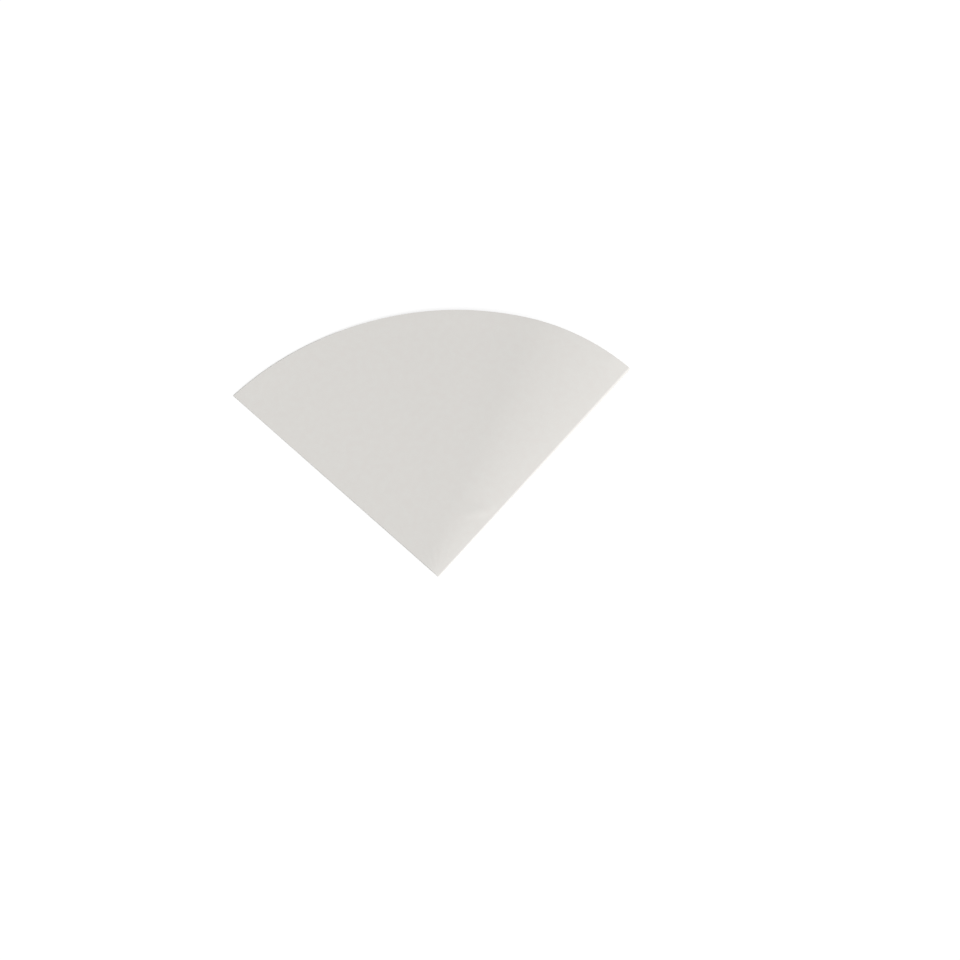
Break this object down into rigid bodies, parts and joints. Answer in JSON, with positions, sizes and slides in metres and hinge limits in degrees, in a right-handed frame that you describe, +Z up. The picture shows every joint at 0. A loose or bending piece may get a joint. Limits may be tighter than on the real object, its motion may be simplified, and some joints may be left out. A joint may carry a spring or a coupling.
{
  "type": "coffee filter",
  "caption": "Round paper coffee filter folded twice into a quarter, lying flat with a soft roll along one straight side.",
  "frame": {"origin": "on the table, half way from the tip to the arc, in the middle of the width", "axes": "+Z up from the table, +Y from the tip to the middle of the arc, +X towards the straight side with the soft roll"},
  "size_m": [0.2156, 0.1524, 0.0047],
  "materials": {
    "filter_paper": "matt, uncoated, slightly fibrous"
  },
  "bodies": {
    "root": {"folded_filter": "filter_paper"}
  },
  "joints": []
}
